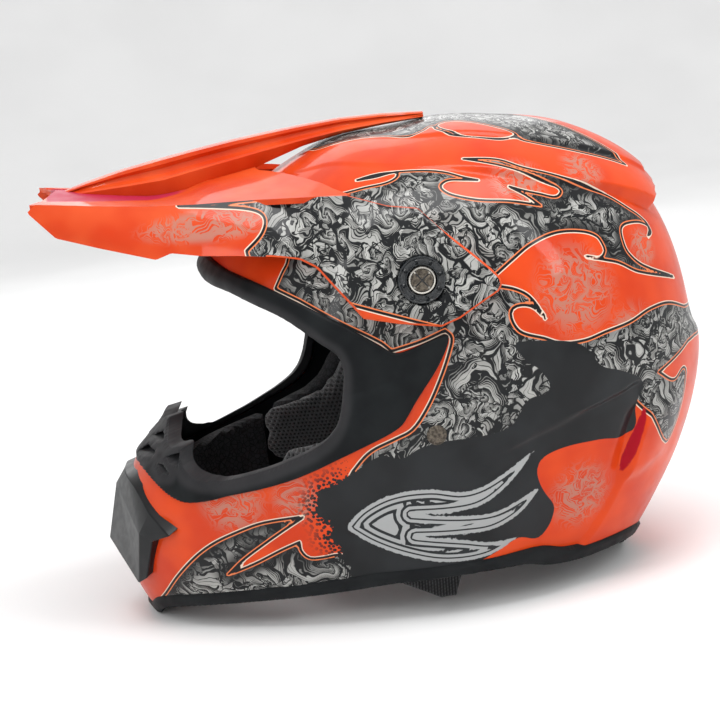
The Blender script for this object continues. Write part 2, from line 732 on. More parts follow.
MAIN_FIELD = [                  # the grey field over the side, clockwise from the brow
    (-69, 98), (-41, 99), (-29, 100), (-17, 101), (-10, 104), (-8, 108), (-11, 109), (-22, 107),
    (-33, 107, 1), (-21, 109), (-8, 109), (7, 107), (19, 103), (29, 97), (36, 94, 1), (27, 96),
    (19, 97), (14, 94), (15, 90), (20, 86), (33, 81), (49, 78), (66, 73, 1), (60, 80), (52, 87, 1),
    (60, 83), (68, 80), (77, 77), (82, 80), (81, 83), (76, 86), (67, 91), (52, 100), (32, 110, 1),
    (51, 105), (63, 97), (76, 91), (89, 85), (101, 80), (112, 75), (125, 66), (136, 59), (141, 53),
    (136, 47, 1), (142, 51), (135, 56), (122, 57), (114, 55), (112, 49), (114, 40), (125, 31),
    (157, 20, 1), (119, 29), (105, 36), (95, 39), (84, 42, 1), (93, 40), (97, 43), (97, 46), (94, 52),
    (84, 56), (69, 57), (54, 53), (43, 47), (30, 39, 1), (22, 37), (32, 34), (41, 31), (48, 26),
    (55, 14, 1), (49, 21), (42, 23), (37, 21), (37, 15), (41, 9), (53, 4), (62, 0), (76, -1),
    (89, 1), (106, 3), (123, 7), (142, 7), (166, 0), (221, -14), (160, -20), (147, -23),
    (124, -29, 1), (139, -38), (150, -34), (155, -39), (145, -67), (132, -75), (109, -43, 1),
    (104, -38), (82, -42), (60, -52), (0, -62), (-40, -58), (-54, -54, 1), (-43, -43), (-29, -37),
    (-20, -33), (-11, -22), (-3, -8), (3, 5), (5, 12), (2, 16, 1), (-11, 12), (-26, 9, 1),
    (-31, 14), (-50, 26), (-71, 40, 1), (-85, 48, 1), (-80, 57), (-77, 62), (-74, 80),
]
CROWN_FIELD = [                 # the grey strip along the crown, with its orange tongues
    (-90, 190, 1), (-70, 166), (-62, 159), (-43, 156), (-23, 155, 1), (-9, 152), (7, 145),
    (18, 148), (27, 153), (27, 146), (34, 136), (51, 127), (61, 123), (72, 123), (77, 119),
    (96, 110), (112, 103), (138, 92, 1), (120, 130), (90, 200, 1), (0, 230, 1),
]
CROWN_TONGUE = [
    (29, 150), (38, 155), (51, 149), (64, 137), (73, 125), (67, 123), (51, 127), (37, 135),
]
CHIN_FIELD = [                  # the grey blade low on the chin bar
    (-190, -158, 1), (-180, -143), (-172, -133), (-160, -117), (-146, -102), (-133, -92), (-117, -84),
    (-103, -79), (-81, -76, 1), (-92, -83), (-105, -92), (-118, -102), (-128, -112, 1), (-111, -104),
    (-96, -96), (-85, -91, 1), (-85, -96), (-81, -101), (-73, -101), (-64, -100), (-59, -105),
    (-50, -114), (-40, -135), (-90, -160), (-150, -175, 1),
]
BLACK_FIELD = [                 # the black panel low on the side
    (-40, -150, 1), (-58, -125), (-60, -110), (-64, -101), (-65, -94), (-70, -90), (-67, -83),
    (-72, -78), (-75, -74), (-73, -67), (-70, -61, 1), (-54, -54), (-37, -45), (-28, -48),
    (-17, -43), (-5, -41), (15, -41), (31, -38), (41, -26), (53, -23), (49, -12), (42, -6),
    (35, 5, 1), (53, 3), (70, -1), (78, -7), (84, -16), (98, -22), (112, -32), (109, -43, 1),
    (104, -60), (82, -58), (62, -57), (48, -60), (44, -66), (45, -74), (48, -81), (53, -90),
    (52, -97), (49, -103), (43, -108), (32, -104), (25, -106), (16, -110), (-8, -119), (-26, -124),
    (-32, -150, 1),
]
BLAZE = [                       # a plain pale flame of three tongues on the black panel
    (-60, -84, 1), (-50, -74), (-34, -67), (-14, -66), (4, -70), (20, -66), (44, -54, 1), (30, -68),
    (16, -77), (4, -80), (-25, -79, 1), (6, -84), (22, -84), (46, -76, 1), (34, -88), (18, -94), (2, -94),
    (-24, -92, 1), (2, -98), (16, -102), (32, -103, 1), (14, -110), (-8, -110), (-28, -104), (-46, -95),
]
CREASE_LINE = [                 # below this the lower side is set back
    (14, -56), (34, -49), (57, -43), (81, -37), (95, -34), (112, -33), (104, -60), (96, -90),
    (60, -130), (0, -140), (-20, -100),
]
RIB_LINE = [                    # above this the crown is raised
    (-110, 150), (-73, 132), (-50, 128), (-24, 118), (6, 110), (34, 102), (61, 92), (84, 85),
    (110, 79), (150, 66, 1), (206, 108, 1), (150, 200), (0, 250), (-110, 220),
]
CREST_LINE = [
    (-100, 180), (-51, 156), (-20, 152), (15, 142), (46, 133), (77, 121), (102, 112), (132, 100),
    (158, 89, 1), (223, 125, 1), (150, 210), (0, 260), (-100, 230),
]
SCOOP_LINE = [(114, -42), (111, -52), (106, -62), (101, -75), (95, -90)]   # edge of the rear scoop


def behind_scoop(chart):
    """How far behind the scoop's edge each point is."""
    line = np.array(SCOOP_LINE[::-1], float)
    return chart[:, 0] - np.interp(chart[:, 1], line[:, 1], line[:, 0])


def scoop_ends(b):
    return step_up(b, -92, -78) * step_up(-b, 40, 52)


def region(outline, chart):
    return inside(curved(outline), chart)


def printed(chart):
    """What the paint material needs at each point of the shell."""
    crown = np.minimum(region(CROWN_FIELD, chart), -region(CROWN_TONGUE, chart))
    chin = region(CHIN_FIELD, chart)
    grey = np.maximum(np.maximum(region(MAIN_FIELD, chart), crown), chin)
    black = region(BLACK_FIELD, chart)
    streak = region(BLAZE, chart)
    a, b = chart.T
    spray = step_up(-a, 48, 66) * step_up(b, -130, -100)
    rear = step_up(a, 45, 80) * step_up(-b, 20, -60)
    smoke = np.clip(0.35 + 0.65 * np.maximum(rear, step_up(-a, 55, 85)) + 0.4 * step_up(b, 95, 130), 0, 1)
    faint = np.zeros(len(chart))
    for at, reach in (((75, 26), 30), ((108, -8), 26), ((70, -88), 24), ((-120, -66), 24), ((-84, -66), 16),
                      ((58, 88), 20), ((128, 42), 14), ((100, 92), 16)):
        faint = np.maximum(faint, 1 - step_up(np.hypot(a - at[0], b - at[1]), reach * 0.4, reach))
    behind = behind_scoop(chart)
    slit = 2.1 * np.sin(math.pi * np.clip((-b - 42) / 46, 0, 1)) ** 0.6 - 0.4 - np.abs(behind + 0.6)
    return {"grey": grey, "black": black, "streak": streak, "spray": spray, "smoke": smoke, "faint": faint,
            "pink": 2.5 * slit}


# ---- outer shell -----------------------------------------------------------------------------

SHELL_PORT = [
    (-230, 195), (-96, 193.5), (-84, 186.5), (-62, 176), (-48, 167.5), (-36, 158.5), (-29, 152),
    (-26, 146), (-26.5, 134), (-29, 122), (-32, 110), (-37, 102), (-45, 96), (-58, 91),
    (-82, 83.5), (-100, 80), (-110, 79.5), (-118, 78), (-126, 79), (-132, 83.5), (-140, 89.6), (-230, 92.6),
]
RIM_FRONT = [(0, 0), (14, 0), (20, 2.5), (28, 6), (36, 8.4), (48, 11), (70, 14.8), (83, 16.9),
             (91, 18.9), (97, 20.8), (130, 20.8)]
RIM_BACK = [(0, 0), (13, 0), (20, 3.6), (28, 8), (36, 10.8), (48, 13), (60, 14.6), (72, 15),
            (82, 15), (89, 16.2), (97, 20.8), (130, 20.8)]
MIDDLE_Y = 10
TAIL = 1.5                      # the ridge across the back, above the shell's form
SCREW_AT = (10.9, 181)          # side view
SCREW_HOLE = 3.8                # radius
RIVET_AT = (9.8, 101)
RIVET_HOLE = 2.7
VENT_HOLE = [(-16, 38), (16, 38), (16, 62), (-16, 62)]      # front view


def rim(points):
    """Height of the shell's lower edge over each point."""
    across = np.abs(points[:, 0])
    front, back = (curved(line, closed=False) for line in (RIM_FRONT, RIM_BACK))
    height = np.where(points[:, 1] < MIDDLE_Y, np.interp(across, *front.T), np.interp(across, *back.T))
    return np.maximum(height, 0)


def relief(base, directions):
    """How far the shell stands above its plain form."""
    chart = unrolled(*polar(directions))
    a, b = chart.T
    rib = step_up(region(RIB_LINE, chart), -2.2, 2.2) * (
        0.6 + 1.6 * step_up(a, 5, 55) + 1.4 * step_up(a, 40, 130) + 3.2 * step_up(a, 84, 152))
    crest = (0.4 + 1.2 * step_up(a, -10, 45)) * step_up(region(CREST_LINE, chart), -1.8, 1.8)
    low = 2.2 * step_up(region(CREASE_LINE, chart), -1.5, 2) * step_up(a, 10, 45)
    x, y, z = base.T
    behind = behind_scoop(chart)
    wall = hump(behind, -2, 2, 8, 46)
    hollow = hump(behind, -15, -2.2, -2, 2)
    scoop = scoop_ends(b) * (3.6 * wall - 1.4 * hollow)
    tail = TAIL * hump(z, 58, 100, 121, 128) * (1 - step_up(np.abs(x), 26, 62)) * step_up(y, 110, 150)
    chin = 1.4 * hump(z, 60, 66, 76, 84) * (1 - step_up(np.abs(x), 50, 84)) * step_up(-y, 96, 130)
    return rib + crest - low + scoop + tail + chin


def outer_shell():
    def field(points):
        around = along(points, 1, 2)
        holes = [
            np.hypot(*(around - at).T) - radius
            for at, radius in ((SCREW_AT, SCREW_HOLE), (RIVET_AT, RIVET_HOLE))
        ]
        vent = np.where(points[:, 1] < -100, -inside(VENT_HOLE, along(points, 0, 2)), 9)
        port = -inside(SHELL_PORT, around)
        return np.minimum.reduce([port, points[:, 2] - rim(points) - 2.4, vent, *holes])

    def outside(base, directions):
        return relief(base, directions)

    def within(base, directions):
        return np.minimum(relief(base, directions), 0) - SHELL_THICK

    directions, points, faces = plate(field, outside, within, 1.75)
    chart = unrolled(*polar(directions))
    values = printed(chart)
    values["edge"] = np.full(len(chart), 9.0)
    values["sheet"] = np.column_stack([chart, np.zeros(len(chart))])
    both = {key: np.concatenate([value, value]) for key, value in values.items()}
    both["lining"] = np.repeat([0.0, 1.0], len(chart))
    return piece("outer_shell_painted", "shell", "paint", PAINT, points, faces, ["outer_shell"], sharp=50,
                 normals=lit(directions, outside, 1.75), **both)


outer_shell()


# ---- eye port frame --------------------------------------------------------------------------

PORT = [
    (-230, 191), (-100, 190), (-94.7, 184), (-84.2, 180.3), (-73.8, 175), (-63.2, 169.6), (-56.3, 165),
    (-49.4, 159.2), (-40.8, 151.8), (-36.4, 148.4), (-34.2, 144.7), (-33.2, 140.6), (-33.4, 134.4),
    (-34.4, 127.3), (-35.6, 121.7), (-37.2, 116.1), (-39.7, 110.4), (-43, 106), (-46.7, 102.5),
    (-55.9, 97.4), (-66, 93.4), (-76.1, 89.8), (-86.1, 87), (-96.1, 84.6), (-102.5, 83.8),
    (-105.5, 85.6), (-107, 90, 1), (-107, 118, 1), (-230, 118, 1),
]
PORT_FLANGE = [
    (-230, 199, 1), (-93, 196.5), (-81, 190.6), (-71.2, 186.4), (-60.4, 180.9), (-50.6, 175.2),
    (-40.8, 169.2),
    (-27.7, 160.8), (-19.6, 155.1), (-13, 150.2), (-9, 147, 1), (-6.4, 145.9), (-3.2, 145.7), (2.8, 147.2),
    (10.4, 149.5), (16.2, 151.3), (19.6, 152.2), (21.4, 150.8, 1), (20.4, 147), (17.6, 141.6), (13.2, 134.8),
    (7.2, 127.2), (1.4, 119.8), (-2.8, 113.8), (-6.4, 109), (-11, 105.8), (-18.4, 102.4), (-30, 97.8),
    (-41.4, 93.3), (-51, 89.4), (-62.4, 85.3), (-73.8, 82.2), (-83, 80.2), (-97.4, 77.4), (-106.6, 74.9),
    (-116.8, 73.3), (-122, 73.8), (-128, 76.8), (-134, 82), (-140, 87.2), (-147, 89.5), (-230, 91, 1),
]
NOSE_HOLES = [                  # half of the front view
    [(4, 99.6), (20, 104), (30, 101.6), (26, 99)],
    [(3, 91.6), (12, 96.6), (31, 96), (34, 93.6), (20, 91.4)],
    [(46, 95.4), (55, 98.2), (59, 91.6), (52, 92.4)],
    [(42, 91.2), (47, 91.4), (55, 87.2), (49, 87)],
]
NOSE_TOP = [                    # half of the front view, above the nose guard
    (-1, 108), (8, 109.4), (17, 110.6, 1), (22, 107), (30, 103.6), (38, 100.6), (45, 99.4), (51, 100.6),
    (54.5, 99.8), (58, 95.6), (62, 91), (67, 87.2), (74, 84.6, 1), (90, 83.8, 1), (90, 150, 1), (-1, 150, 1),
]


def eyeport_frame():
    flange = curved(PORT_FLANGE, steps=3)
    port = curved(PORT, steps=3)
    top = curved(NOSE_TOP, steps=3)

    def nose(points):
        front = along(np.abs(points), 0, 2)
        gap = np.maximum.reduce([inside(np.array(outline), front) for outline in [*NOSE_HOLES, top]])
        return np.where(points[:, 1] < -104, -gap, 99.0)

    def inner(points):
        return np.minimum(-inside(port, along(points, 1, 2)), nose(points))

    def field(points):
        return np.minimum(inside(flange, along(points, 1, 2)), inner(points))

    def outside(base, directions):
        rim_out = edge_drop(np.clip(inside(flange, along(base, 1, 2)), 0, 9), 1.6)
        port_edge = np.clip(-inside(port, along(base, 1, 2)), 0, 9)
        roll = 0.7 * edge_drop(port_edge, 6.5) * step_up(base[:, 1], -112, -102)
        return PROUD - rim_out - roll - edge_drop(np.clip(nose(base), 0, 9), 0.9)

    def within(base, directions):
        lip = step_up(inside(SHELL_PORT, along(base, 1, 2)), 0.4, 1.4)
        return 0.3 - (LIP_DEPTH + 0.3) * lip

    spacing = 1.05
    directions, points, faces = plate(field, outside, within, spacing)
    edge = 1 - step_up(np.clip(inner(surface(directions, 0)), 0, 99), 3, 7)
    return piece("eyeport_frame_moulded", "shell", "black_rubber", RUBBER, points, faces, ["eyeport_frame"],
                 sharp=50, normals=lit(directions, outside, spacing), edge=np.concatenate([edge, edge]))


eyeport_frame()


# ---- edge trim round the lower rim -----------------------------------------------------------

def base_trim():
    def field(points):
        height = points[:, 2] - rim(points)
        return np.minimum(height, TRIM_HEIGHT - height)

    def outside(base, directions):
        height = base[:, 2] - rim(base)
        top = np.clip(TRIM_HEIGHT - height, 0, 1.2)
        low = np.clip(height, 0, 1.6)
        return TRIM_PROUD - 1.2 * (1 - np.sqrt(1 - (1 - top / 1.2) ** 2)) - 0.8 * (1 - low / 1.6) ** 2

    def within(base, directions):
        height = base[:, 2] - rim(base)
        return np.where(height > 6, -TRIM_DEPTH + 0.6, -TRIM_DEPTH)

    directions, points, faces = plate(field, outside, within, 1.2)
    points[:, 2] = np.maximum(points[:, 2], rim(points))
    edge = np.full(len(points), 0.15)
    return piece("base_trim_moulded", "shell", "black_rubber", RUBBER, points, faces, ["base_trim"],
                 sharp=50, edge=edge)


base_trim()


# ---- chin vent -------------------------------------------------------------------------------

def bevelled(made, width, segments=3, angle=25):
    """Rounds a piece's sharp edges."""
    modifier = made.modifiers.new("bevel", "BEVEL")
    modifier.width = width * MM
    modifier.segments = segments
    modifier.limit_method = "ANGLE"
    modifier.angle_limit = math.radians(angle)
    modifier.harden_normals = True
    return made


def pressed(points):
    """The same points moved towards the form's centre until they lie just under the shell's face."""
    centre = np.array([0, POLE_Y, POLE_Z])
    shares = np.linspace(1, 0.8, 81)
    found = points.copy()
    for k, point in enumerate(points):
        line = centre + (point - centre) * shares[:, None]
        sunk = np.abs(line[:, 0]) <= half_width(line[:, 1], line[:, 2], -1.5)
        reach = np.hypot(line[:, 1] - POLE_Y, line[:, 2] - POLE_Z)
        sunk &= reach < form_at(np.degrees(np.arctan2(line[:, 2] - POLE_Z, line[:, 1] - POLE_Y)), 1) - 1.5
        found[k] = line[np.argmax(sunk)]
    return found


def chin_vent_cover():
    """A faceted cover: upper, front and side facets on each half, with returns to the shell."""
    half = [
        (0, -151.5, 81.4), (18.9, -150.2, 81.2), (34, -146.5, 77), (50, -140.5, 66), (63.7, -131.5, 55),
        (52.6, -141, 50.7), (46, -147.5, 54), (34, -151.5, 24), (39, -146.8, 27.4), (0, -157, 74.2),
        (0, -165, 43.8), (0, -154, 21),
    ]
    faces = [[0, 9, 6, 1], [1, 6, 3, 2], [3, 6, 5, 4], [9, 10, 7, 6], [6, 7, 8, 5], [10, 11, 7]]
    edge = [0, 1, 2, 3, 4, 5, 8, 7, 11]
    points = np.array(half, float)
    count = len(points)
    back = pressed(points)
    faces += [[v + count for v in reversed(f)] for f in faces]
    faces += [[b, a, a + count, b + count] for a, b in zip(edge, edge[1:])]
    right, right_faces = mirrored(np.concatenate([points, back]), faces)
    points, faces = joined((np.concatenate([points, back]), faces), (right, right_faces))
    made = piece("chin_vent_cover_moulded", "shell", "black_gloss", GLOSS_BLACK, points, faces,
                 ["chin_vent_cover"], sharp=20)
    weld(made, 0.05)
    return bevelled(made, 0.7)


def weld(made, distance):
    """Merges the mid-plane's doubled points and drops the faces between them."""
    work = bmesh.new()
    work.from_mesh(made.data)
    bmesh.ops.remove_doubles(work, verts=work.verts, dist=distance * MM)
    bmesh.ops.recalc_face_normals(work, faces=work.faces)
    work.to_mesh(made.data)
    work.free()


chin_vent_cover()


# ---- peak ------------------------------------------------------------------------------------

VISOR = np.array([              # y, then the fold's and the lower edge's x and z
    [-182, 60, 238.8, 61, 216], [-145, 62, 233.5, 69, 212], [-118, 64, 230, 75, 203],
    [-95, 67.5, 228.3, 80, 203], [-62, 73, 227, 92, 198.5], [-40, 77, 225.5, 98, 193],
    [-14, 80, 224, 101, 190],
])
PEAK_SIDE = [                   # side view of a side and its arm
    (-175.6, 238.1), (-145, 233.5), (-118, 230), (-95, 228.3), (-62, 227), (-40, 225.5), (-18, 224.5),
    (1, 217.5), (16, 214.6), (25, 204), (38, 191), (47, 181.6), (51, 176.5), (51.4, 173), (49.2, 170),
    (38.7, 165), (28, 159.5), (18, 156.5), (-2.5, 160.5), (-20, 165), (-24, 170.7), (-31.5, 181),
    (-39, 191.5), (-46, 195.8), (-60, 199), (-76, 201), (-95.2, 202.8), (-109.9, 205.8),
    (-118, 203.3), (-145.5, 212.2), (-167.2, 219.9), (-180, 234.5),
]
PEAK_GREY = [                   # the grey field on the side, in the side view
    (-103, 228.6, 1), (-82, 225.8), (-67, 223), (-61, 219.6), (-60.5, 215), (-64, 209.5), (-72, 203, 1),
    (-70, 190, 1), (60, 140, 1), (70, 240, 1), (-18, 226.5), (-41, 226.6), (-82, 227.4),
]


def visor_at(y, column):
    return np.interp(y, VISOR[:, 0], VISOR[:, column])


def side_x(y, z):
    """The outside of the peak's side: the visor in front, an arm over the shell behind."""
    fold_x, fold_z, low_x, low_z = (visor_at(y, k) for k in (1, 2, 3, 4))
    share = (fold_z - z) / (fold_z - low_z)
    swell = 1.6 * np.sin(np.clip(share, 0, 1) * math.pi)
    visor = fold_x + (low_x - fold_x) * np.clip(share, -0.3, 1.4) + swell
    arm = half_width(y, z, ARM_PROUD)
    return visor + (arm - visor) * step_up(y, -66, -30)


TRAY_EDGE = [(-182, -110, -60, -14), (50, 30, 14, 12)]      # y, and half the tray's width there


def top_z(x, y):
    """The peak's top: a shallow tray between two shelves in front, crowned towards the back."""
    across = np.abs(x)
    fold_x, fold_z = visor_at(y, 1), visor_at(y, 2)
    front = 1 - step_up(y, -118, -84)
    middle = np.interp(y, [-182, -143, -97, -62, -14], [240, 237, 234, 239, 246])
    inner = np.interp(y, *TRAY_EDGE)
    rise = np.clip((across - inner) / (fold_x - inner), 0, 1)
    crowned = middle + (fold_z - middle) * rise ** 1.25
    shelf = fold_z + 0.8 * (1 - rise)
    tray = fold_z + 0.1 + 3.4 * (1 - np.clip(across / inner, 0, 1)) ** 1.3
    flat = tray + (shelf - tray) * step_up(across, inner, inner + 0.4)
    return crowned + (flat - crowned) * front


def peak_values(sheet, **given):
    """What the paint material needs at each point of a part of the peak: plain unless given."""
    count = len(sheet)
    plain = {"grey": np.full(count, -30.0), "edge": np.full(count, 30.0), "faint": np.zeros(count),
             "pink": np.zeros(count), "sheet": np.column_stack([sheet, np.zeros(count)])}
    return {**plain, **given}


def peak_side():
    outline = np.array(PEAK_SIDE)
    grid, cells = flat_grid((-182, 150), (54, 240), 1.3)
    places, faces = clipped(grid, cells, inside(outline, grid))
    y, z = places.T
    distance = inside(outline, places)
    x = side_x(y, z)
    away = np.hypot(y - SCREW_AT[0], z - SCREW_AT[1])
    outside = x - edge_drop(distance) * step_up(y, -62, -50)
    within = np.where(y > -48, np.maximum(half_width(y, z, ARM_CLEAR), 0), x - PEAK_THICK)
    within = x - PEAK_THICK + (np.minimum(within, x - 1.8) - (x - PEAK_THICK)) * step_up(y, -66, -30)
    outside = np.where(away < SCREW_HOLE + 8.4, ARM_FLAT, outside)
    points, faces = between(outside, within, places, faces)
    grey = inside(curved(PEAK_GREY), places)
    edge = np.where(y > -64, distance + 0.9 * step_up(z, 196, 206), 9.0)
    scroll = 1 - step_up(np.hypot((y + 90) / 42, (z - 217) / 9.5), 0.55, 1.0)
    return points, faces, peak_values(places, grey=grey, edge=edge, faint=scroll)


def peak_top():
    """The tray and the crowned back: rows from fold to fold, with columns along the tray's edge."""
    rows = np.linspace(0, 1, 110)
    floor = np.linspace(0, 1, 9)
    shelf = np.concatenate([[0.03], np.linspace(0.08, 1, 12)])
    half = np.concatenate([floor, 1 + shelf])
    columns = np.concatenate([-half[:0:-1], half])
    share, row = np.meshgrid(columns, rows, indexing="ij")
    y = -170 + row * 130
    for _ in range(6):
        inner, fold = np.interp(y, *TRAY_EDGE), visor_at(y, 1)
        part = np.abs(share)
        x = np.where(part <= 1, part * inner, inner + (part - 1) * (fold - inner))
        front = np.interp(x, [0, 50, 62], [-166.5, -174.5, -179])
        rear = np.interp(x, [0, 22, 81], [-58, -58, -14])
        y = front + row * (rear - front)
    inner = np.interp(y, *TRAY_EDGE)
    x = x * np.sign(share)
    z = top_z(x, y)
    points = np.column_stack([x.ravel(), y.ravel(), z.ravel()])
    cells = woven(len(columns), len(rows), ring=False, turned=True)
    body, faces = closed_body(points, points - [0, 0, PEAK_THICK], cells)
    pink = ((np.abs(share) <= 1) * (1 - step_up(y, -106, -92)) * step_up(y, -171, -170)).ravel()
    return body, faces, peak_values(along(points, 0, 1), pink=pink)


SPINE = np.array([              # y, crest z, ledge z, bottom z, half widths of crest, groove and ledge
    [-163, 238.6, 237, 230, 5, 6, 7], [-150, 242, 238.2, 229, 6.5, 8.5, 11.5],
    [-130, 246.2, 239, 229, 7.5, 9.5, 16], [-108, 249.6, 240, 229, 8, 9.5, 17],
    [-88, 252.4, 243.2, 229.5, 8, 9.5, 16.5], [-69, 254.7, 246, 235, 7.6, 9.2, 15.6],
    [-50, 256.5, 248.8, 241.5, 7.2, 8.6, 14.4], [-31, 258, 251.4, 247.2, 6.6, 7.8, 13],
    [-8, 259.3, 254, 251.2, 6, 7, 11.4], [15, 258.8, 255.2, 253, 5.2, 6, 9.2],
    [37.5, 257.2, 255.6, 254, 4.4, 4.8, 6.2],
])


def peak_spine():
    """The raised blade: a crest, a scooped groove along each side and a ledge below it."""
    rows = np.linspace(SPINE[0, 0], SPINE[-1, 0], 90)
    sections = []
    for y in rows:
        crest, ledge, bottom, crest_x, groove_x, ledge_x = (
            np.interp(y, SPINE[:, 0], SPINE[:, k]) for k in range(1, 7)
        )
        ledge = min(ledge, crest - 0.6)
        depth = crest - ledge
        half = [
            (0, crest + 0.25), (crest_x * 0.6, crest + 0.1), (crest_x, crest - 0.5),
            (crest_x + 0.5, crest - 0.22 * depth - 0.5), (crest_x - 0.9, crest - 0.5 * depth),
            (crest_x + 0.1, crest - 0.8 * depth), (groove_x + 1.2, ledge - 0.1),
            (ledge_x - 1.2, ledge), (ledge_x, ledge - 0.9), (ledge_x - 0.8, (ledge + bottom) / 2 - 0.4),
            (ledge_x - 3.0, bottom), (0, bottom - 0.3),
        ]
        ring = half + [(-x, z) for x, z in reversed(half[1:-1])]
        sections.append([(x, y, z) for x, z in ring])
    points = np.array(sections)
    lag = np.interp(points[..., 2], [229, 262], [2.5, -1.0]) * (rows > 20)[:, None]
    points[..., 1] -= lag * step_up(rows, 20, 37)[:, None]
    size = points.shape[1]
    points = points.reshape(-1, 3)
    faces = woven(len(rows), size)
    faces += [list(range(size))[::-1], [(len(rows) - 1) * size + k for k in range(size)]]
    return points, [f[::-1] for f in faces], peak_values(along(points, 1, 0))


def collar():
    """The raised rim on the arm round the screw ring."""
    x = ARM_FLAT
    points, faces = lathe([(x - 2.5, 12.4), (x + 1.2, 12.4), (x + 1.6, 12.9), (x + 1.5, 13.8),
                           (x + 0.4, 15.6), (x - 1.0, 17.4), (x - 2.5, 17.6)], *SCREW_AT)
    return points, faces, peak_values(along(points, 1, 2), grey=np.full(len(points), 30.0))


def peak():
    parts = [peak_top(), peak_spine()]
    for points, faces, values in (peak_side(), collar()):
        parts += [(points, faces, values), (*mirrored(points, faces), values)]
    values = {
        key: np.concatenate([
            np.resize(given[key], (len(points), *given[key].shape[1:])) for points, _, given in parts
        ])
        for key in ("grey", "edge", "faint", "sheet", "pink")
    }
    points, faces = joined(*(part[:2] for part in parts))
    bare = {"black": -30.0, "streak": -30.0, "spray": 0.0, "smoke": 0.25, "lining": 0.0}
    for key, filler in bare.items():
        values[key] = np.full(len(points), filler)
    return piece("peak_moulded", "peak", "peak_paint", PEAK_PAINT, points, faces, ["peak"],
                 sharp=28, **values)


peak()


# ---- peak screws and rings -------------------------------------------------------------------

SEAT = 118.1
RING_RADIUS = 12.1
HEAD_RADIUS = 7.1


def screw_rim():
    """The screw's shank and the bright rim of its head."""
    return lathe([
        (97, 0.3), (97, 2.9), (SEAT + 0.6, 2.9), (SEAT + 0.6, HEAD_RADIUS), (SEAT + 3.4, HEAD_RADIUS),
        (SEAT + 4.2, HEAD_RADIUS - 0.4), (SEAT + 4.3, HEAD_RADIUS - 1.1), (SEAT + 3.3, HEAD_RADIUS - 1.6),
        (SEAT + 3.0, 3.2), (SEAT + 3.0, 0.3),
    ], *SCREW_AT, sides=72)


def screw_well():
    return lathe([(SEAT + 2.7, 0.05), (SEAT + 2.7, HEAD_RADIUS - 1.5), (SEAT + 3.2, HEAD_RADIUS - 1.7),
                  (SEAT + 3.2, 0.05)], *SCREW_AT, sides=48)


def screw_lobes():
    """Four raised lobes inside the rim, with a cross slot between them."""
    bodies = []
    for quarter in range(4):
        a = math.radians(38 + 90 * quarter)
        turns = a + np.linspace(0, math.pi / 2, 15)
        reach, gap = HEAD_RADIUS - 1.7, 0.36
        middle = a + math.pi / 4
        shift = SCREW_AT + gap * math.sqrt(2) * np.array([math.cos(middle), math.sin(middle)])
        arc = (reach - 1.4 * gap) * np.column_stack([np.cos(turns), np.sin(turns)])
        outline = [shift, *(shift + arc)]
        count = len(outline)
        ring = [(x, *p) for x in (SEAT + 2.8, SEAT + 3.9) for p in outline]
        faces = [list(range(count))[::-1], list(range(count, 2 * count))]
        faces += [[k, (k + 1) % count, (k + 1) % count + count, k + count] for k in range(count)]
        bodies.append((np.array(ring), faces))
    return joined(*bodies)


def screw_ring():
    body = lathe([
        (SEAT, HEAD_RADIUS + 0.6), (SEAT, RING_RADIUS), (SEAT + 2.2, RING_RADIUS),
        (SEAT + 2.9, RING_RADIUS - 0.3),
        (SEAT + 3.1, RING_RADIUS - 0.9), (SEAT + 2.7, RING_RADIUS - 1.3), (SEAT + 2.6, RING_RADIUS - 1.6),
        (SEAT + 2.8, HEAD_RADIUS + 1.4), (SEAT + 3.4, HEAD_RADIUS + 1.1), (SEAT + 3.5, HEAD_RADIUS + 0.7),
    ], *SCREW_AT, sides=96)
    studs = []
    for k in range(8):
        a = 2 * math.pi * (k + 0.25) / 8
        y = SCREW_AT[0] + 9.6 * math.cos(a)
        z = SCREW_AT[1] + 9.6 * math.sin(a)
        studs.append(lathe([(SEAT + 2, 0.05), (SEAT + 2, 1.05), (SEAT + 3.2, 1.05), (SEAT + 3.5, 0.75),
                            (SEAT + 2.85, 0.35), (SEAT + 2.8, 0.05)], y, z, sides=14))
    return joined(body, *studs)


def put_pair(name, bodies, slot, material, shape, node, sharp=30):
    for side, body, sign in zip(("left", "right"), bodies, (1, -1)):
        points, faces = shape
        if sign < 0:
            points, faces = mirrored(points, faces)
        replaces = [f"{node}_{side}"] if node else []
        made = piece(f"{name}_{side}", body, slot, material, points, faces, replaces, sharp=sharp)
        weld(made, 0.001)


put_pair("screw_ring_turned", ("peak", "peak"), "black_plastic", BLACK_PLASTIC, screw_ring(), "screw_ring")
SCREWS = ("screw_left", "screw_right")
put_pair("side_screw_turned", SCREWS, "steel", STEEL, screw_rim(), "side_screw")
put_pair("side_screw_well", SCREWS, "black_plastic", BLACK_PLASTIC, screw_well(), None)
put_pair("side_screw_lobes", SCREWS, "rivet", RIVET, screw_lobes(), None)


# ---- strap rivets ----------------------------------------------------------------------------

put_pair("strap_rivet_domed", ("shell", "shell"), "rivet", RIVET, lathe([
    (105, 0.05), (105, 2.2), (117.3, 2.2), (117.3, 5.0), (117.9, 5.1), (118.3, 4.7), (118.2, 4.1),
    (118.6, 3.4), (118.9, 2.0), (119.0, 0.05),
], *RIVET_AT, sides=48), "strap_rivet")


# ---- chin strap ------------------------------------------------------------------------------

STRAP_WIDTH = 25
STRAP_THICK = 2.2
STRAP_TOP_X = 108.3
STRAP_LEAN = 0.34
LOOP_Z = 37.5
RING_WIRE = 1.5
RING_DROP = 20
RING_APART = 4.8
RIVET_Y, RIVET_Z = RIVET_AT
LOOP_X = STRAP_TOP_X - (RIVET_Z - LOOP_Z) * STRAP_LEAN - 2.4


def strap_x(z):
    return STRAP_TOP_X - np.maximum(0, RIVET_Z - z) * STRAP_LEAN


